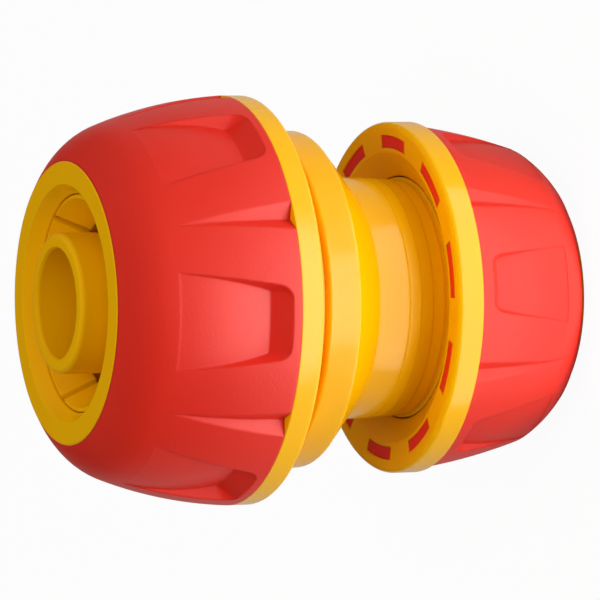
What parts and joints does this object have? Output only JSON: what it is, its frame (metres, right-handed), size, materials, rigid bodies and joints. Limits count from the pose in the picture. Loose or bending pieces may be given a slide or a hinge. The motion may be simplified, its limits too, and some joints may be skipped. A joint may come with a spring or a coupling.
{
  "type": "hose connector",
  "caption": "Quick hose connector with a barbed tail, screw nut with collet, plain neck and spring release sleeve, both with soft grips.",
  "frame": {"origin": "centre of the socket end's rim, on the surface it stands on", "axes": "+Z along the flow axis from the socket end up to the hose end; -Y is the side that faces the viewer in the picture"},
  "size_m": [0.0418, 0.0418, 0.0533],
  "materials": {
    "yellow_plastic": "moulded, satin to glossy",
    "red_grip": "fine matte grain",
    "spring_steel": "drawn wire",
    "claw_plastic": "moulded, satin"
  },
  "bodies": {
    "body": {"connector_body": "yellow_plastic", "front_ring": "yellow_plastic", "return_spring": "spring_steel"},
    "collet": {"hose_collet": "yellow_plastic"},
    "nut": {"nut_shell": "yellow_plastic", "nut_grip": "red_grip"},
    "sleeve": {"sleeve_shell": "yellow_plastic", "sleeve_grip": "red_grip"},
    "claw_1": {"locking_claw_1": "claw_plastic"},
    "claw_2": {"locking_claw_2": "claw_plastic"},
    "claw_3": {"locking_claw_3": "claw_plastic"}
  },
  "joints": [
    {"name": "collet_slide", "type": "slide", "parent": "body", "child": "collet", "axis": [0, 0, 1], "range_m": [0, 0.005]},
    {"name": "nut_turn", "type": "hinge", "parent": "collet", "child": "nut", "pos_m": [0, 0, 0.043], "axis": [0, 0, 1], "range_deg": [0, 450]},
    {"name": "sleeve_slide", "type": "slide", "parent": "body", "child": "sleeve", "axis": [0, 0, 1], "range_m": [0, 0.004], "stiffness_N_per_m": 1500, "springref_m": -0.004, "deforming": ["return_spring"]},
    {"name": "claw_1_slide", "type": "slide", "parent": "body", "child": "claw_1", "axis": [0.5, -0.866, 0], "range_m": [0, 0.0013]},
    {"name": "claw_2_slide", "type": "slide", "parent": "body", "child": "claw_2", "axis": [0.5, 0.866, 0], "range_m": [0, 0.0013]},
    {"name": "claw_3_slide", "type": "slide", "parent": "body", "child": "claw_3", "axis": [-1, 0, 0], "range_m": [0, 0.0013]}
  ],
  "couplings": [
    {"joint": "collet_slide", "follows": "nut_turn", "m_per_rad": 0.00063662},
    {"joint": "claw_1_slide", "follows": "sleeve_slide", "ratio": 0.325},
    {"joint": "claw_2_slide", "follows": "sleeve_slide", "ratio": 0.325},
    {"joint": "claw_3_slide", "follows": "sleeve_slide", "ratio": 0.325}
  ]
}
